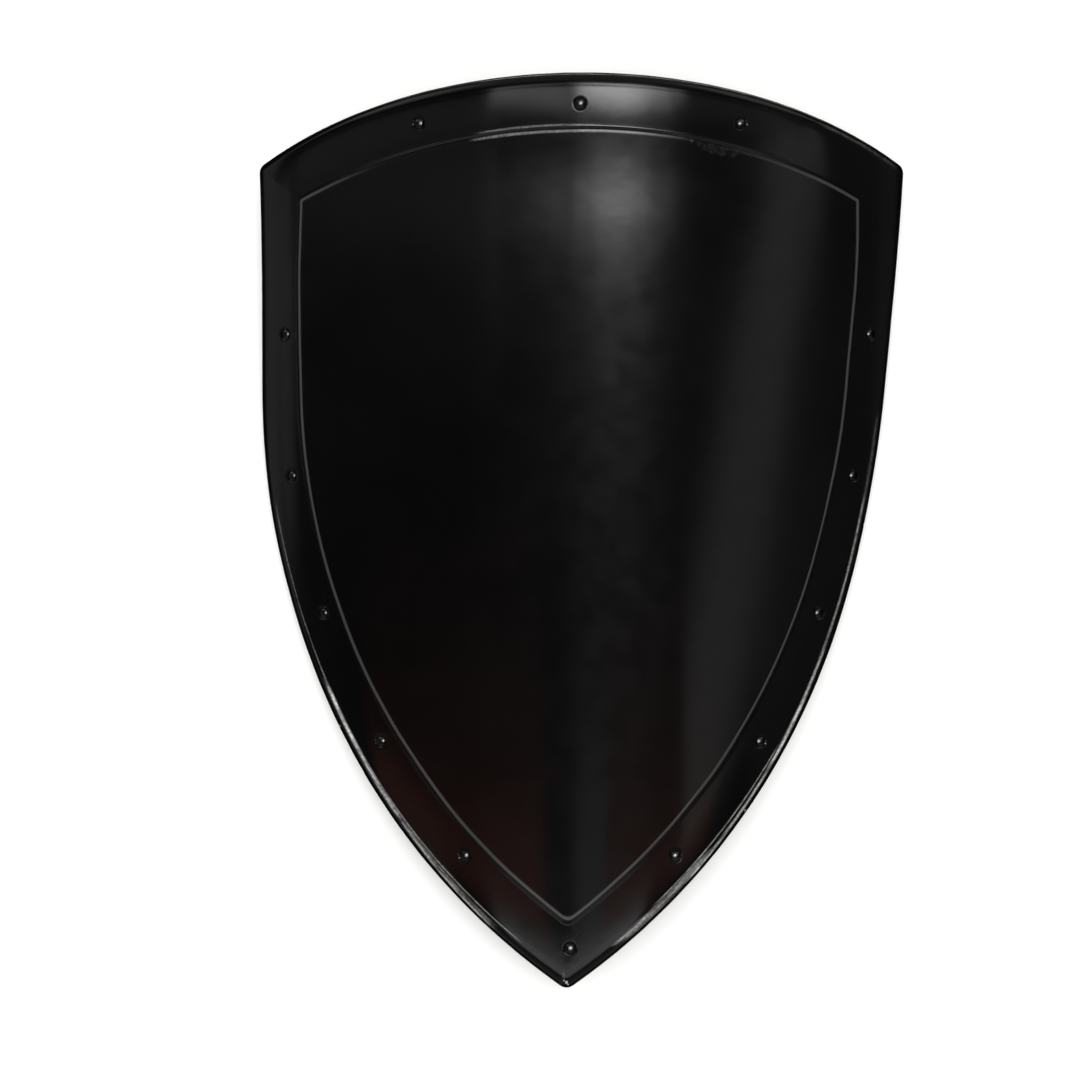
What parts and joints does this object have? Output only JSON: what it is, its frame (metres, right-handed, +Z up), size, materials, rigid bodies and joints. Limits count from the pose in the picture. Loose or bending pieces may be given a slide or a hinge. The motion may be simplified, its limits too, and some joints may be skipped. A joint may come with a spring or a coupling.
{
  "type": "heater shield",
  "caption": "Curved steel heater shield with an arched top, a pointed foot, a raised field inside a riveted rim and a rolled edge.",
  "frame": {"origin": "middle of the bounding box's base, on the surface that the shield lies on", "axes": "+Z up, out of the front face, which lies hollow side down and pitched 6 degrees with its tip low; +Y towards the arched top; +X to the right as seen from the front"},
  "size_m": [0.5112, 0.7086, 0.1221],
  "materials": {
    "black_paint": "semi-gloss black paint on steel sheet",
    "rivet": "blackened dome-head steel rivets"
  },
  "bodies": {
    "root": {"shield_plate": "black_paint", "rivet_top_left": "rivet", "rivet_top_middle": "rivet", "rivet_top_right": "rivet", "rivet_left_1": "rivet", "rivet_left_2": "rivet", "rivet_left_3": "rivet", "rivet_left_4": "rivet", "rivet_left_5": "rivet", "rivet_right_1": "rivet", "rivet_right_2": "rivet", "rivet_right_3": "rivet", "rivet_right_4": "rivet", "rivet_right_5": "rivet", "rivet_tip": "rivet"}
  },
  "joints": []
}
